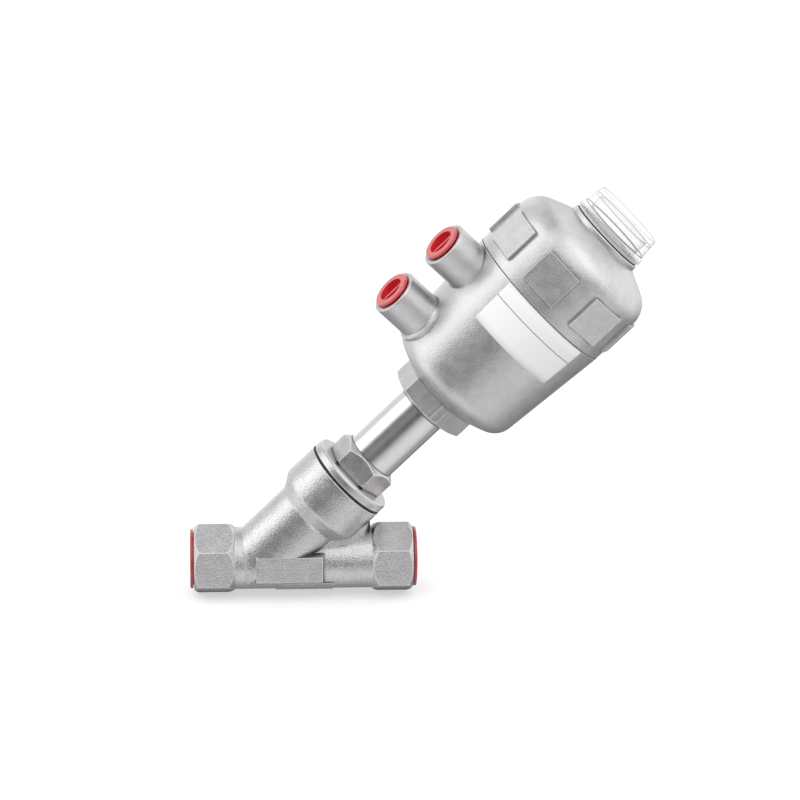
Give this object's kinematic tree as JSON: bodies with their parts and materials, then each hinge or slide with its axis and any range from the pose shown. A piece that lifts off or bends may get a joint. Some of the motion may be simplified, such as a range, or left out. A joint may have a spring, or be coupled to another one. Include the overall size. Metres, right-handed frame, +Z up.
{
  "type": "pneumatic angle-seat valve",
  "caption": "Stainless Y-pattern angle-seat valve with threaded ends, a spring-return piston actuator, air ports on one side and a clear sight dome.",
  "frame": {"origin": "centre of the inlet port where its thread starts, 4 mm inside the inlet face, on the pipe axis", "axes": "+X along the pipe from inlet to outlet, +Z up towards the actuator, whose axis leans 45 degrees from +X to +Z, +Y completes the right-handed frame and points to the far side"},
  "size_m": [0.1763, 0.065, 0.1624],
  "materials": {
    "cast_body": "satin cast stainless steel, lightly blasted",
    "bonnet_steel": "turned stainless steel, satin",
    "polished_tube": "bright turned stainless steel",
    "cast_housing": "satin cast stainless steel, lightly blasted",
    "stem_steel": "ground stainless steel",
    "plain_steel": "plain stainless steel",
    "spring_steel": "drawn spring steel",
    "piston_alloy": "turned aluminium",
    "bearing_bronze": "plain bearing bronze",
    "black_gasket": "matt black gasket sheet",
    "dark_rubber": "black rubber",
    "white_ptfe": "white fluoropolymer",
    "guide_band": "brown filled fluoropolymer",
    "indicator_red": "red plastic",
    "clear_dome": "clear colourless plastic, polished",
    "plug_red": "soft red polyethylene"
  },
  "bodies": {
    "valve": {"valve_body": "cast_body", "body_gasket": "black_gasket", "bonnet": "bonnet_steel", "stem_guide": "bearing_bronze", "packing_spring": "spring_steel", "packing_washer": "plain_steel", "packing_rings": "white_ptfe", "packing_gland": "bearing_bronze", "neck_tube": "polished_tube", "rod_bush": "bearing_bronze", "rod_seals": "dark_rubber", "swivel_washer": "plain_steel", "swivel_nut": "plain_steel"},
    "actuator": {"lower_housing": "cast_housing", "swivel_seal": "dark_rubber", "upper_cap": "cast_housing", "cap_seal": "dark_rubber", "main_spring": "spring_steel", "spring_cup": "plain_steel", "dome_gasket": "white_ptfe", "sight_dome": "clear_dome"},
    "stem_set": {"stem": "stem_steel", "valve_disc": "bonnet_steel", "disc_seal": "white_ptfe", "disc_washer": "plain_steel", "disc_nut": "plain_steel", "piston": "piston_alloy", "piston_seal": "dark_rubber", "piston_guide_ring": "guide_band", "piston_static_seal": "dark_rubber", "piston_washer": "plain_steel", "piston_nut": "plain_steel", "indicator_rod": "stem_steel", "indicator_cap": "indicator_red"},
    "inlet_plug_body": {"inlet_plug": "plug_red"},
    "outlet_plug_body": {"outlet_plug": "plug_red"},
    "lower_plug_body": {"lower_port_plug": "plug_red"},
    "upper_plug_body": {"upper_port_plug": "plug_red"}
  },
  "joints": [
    {"name": "actuator_swivel", "type": "hinge", "parent": "valve", "child": "actuator", "pos_m": [0.0229, 0, 0], "axis": [0.7071, 0, 0.7071], "continuous": true},
    {"name": "stem_lift", "type": "slide", "parent": "valve", "child": "stem_set", "axis": [0.7071, 0, 0.7071], "range_m": [0, 0.008], "stiffness_N_per_m": 9000, "springref_m": -0.01, "deforming": ["main_spring"]},
    {"name": "inlet_plug_pull", "type": "slide", "parent": "valve", "child": "inlet_plug_body", "axis": [-1, 0, 0], "range_m": [0, 0.04]},
    {"name": "outlet_plug_pull", "type": "slide", "parent": "valve", "child": "outlet_plug_body", "axis": [1, 0, 0], "range_m": [0, 0.04]},
    {"name": "lower_plug_pull", "type": "slide", "parent": "actuator", "child": "lower_plug_body", "axis": [-0.6976, -0.1633, 0.6976], "range_m": [0, 0.04]},
    {"name": "upper_plug_pull", "type": "slide", "parent": "actuator", "child": "upper_plug_body", "axis": [-0.6976, -0.1633, 0.6976], "range_m": [0, 0.04]}
  ]
}
